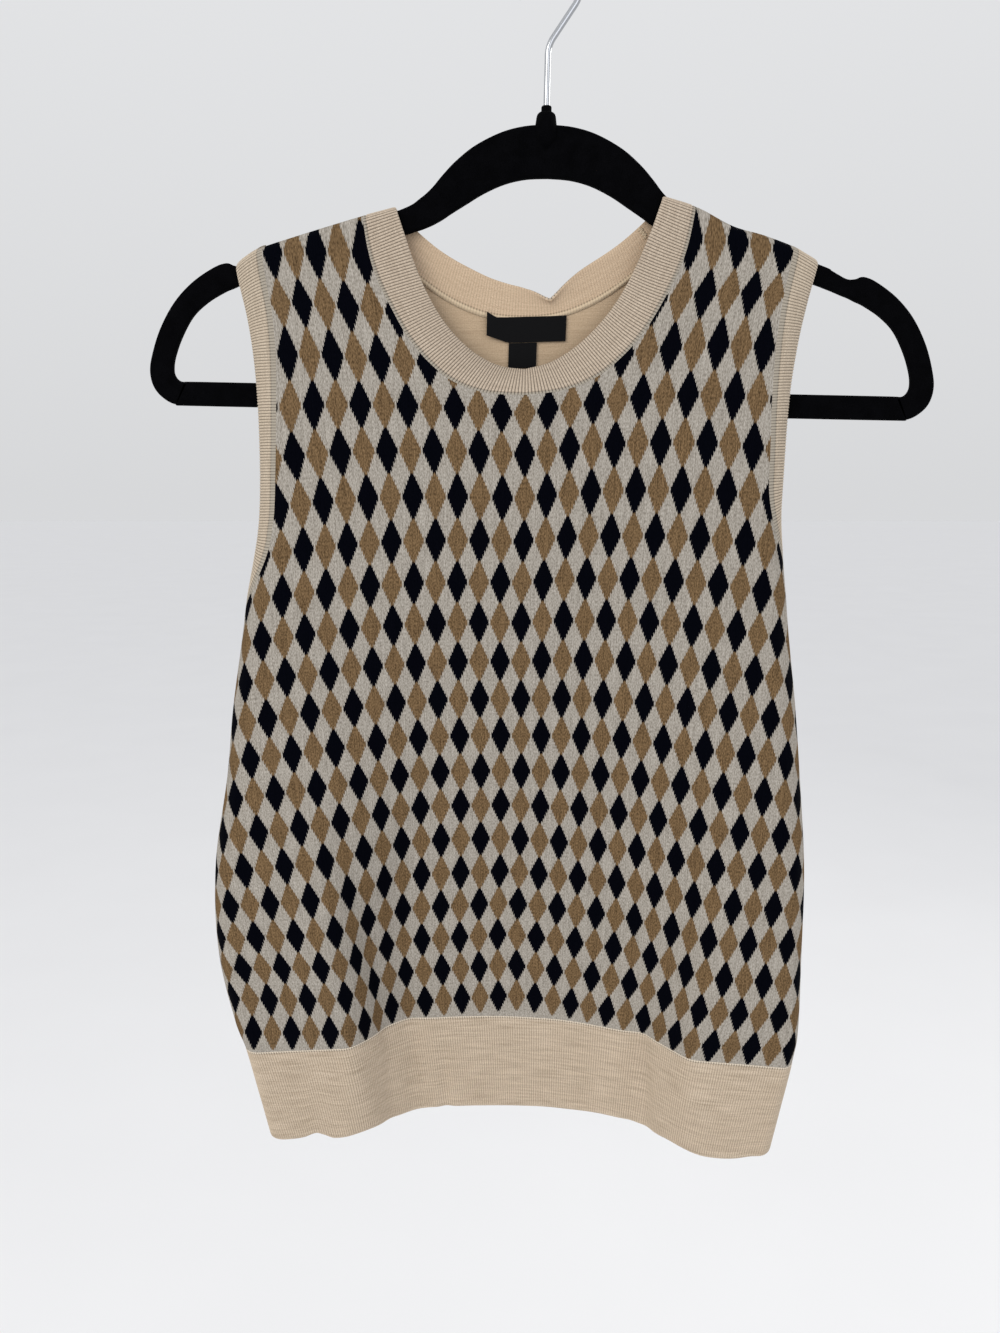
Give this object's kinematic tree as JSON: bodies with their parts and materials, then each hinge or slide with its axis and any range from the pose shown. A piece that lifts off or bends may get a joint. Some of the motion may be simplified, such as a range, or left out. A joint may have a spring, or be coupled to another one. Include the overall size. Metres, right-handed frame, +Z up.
{
  "type": "knitted sweater vest on hanger",
  "caption": "Sleeveless crew-neck knitted sweater vest with a diamond-patterned front and ribbed edges, hanging on a slim flocked hanger with a wire hook.",
  "frame": {"origin": "inner top of the hook, where it bears on the rail that holds it", "axes": "+Z up, the way the hook is held; -Y is the patterned front; +X is towards the wearer's left, which is on the right as the front is seen"},
  "size_m": [0.4445, 0.0738, 0.6738],
  "materials": {
    "jacquard": "fine-gauge diamond jacquard knit in oatmeal, navy and tan",
    "jersey": "plain cream jersey knit",
    "rib": "cream rib knit",
    "satin": "black woven satin label, bare",
    "flock": "black velvet flock on moulded plastic",
    "wire": "bright chromed steel wire"
  },
  "bodies": {
    "root": {"front_panel": "jacquard", "back_panel": "jersey", "front_hem_rib": "rib", "back_hem_rib": "rib", "neckband": "rib", "right_armband": "rib", "left_armband": "rib", "main_label": "satin", "size_tab": "satin", "hanger_frame": "flock", "hanger_hook": "wire"}
  },
  "joints": []
}
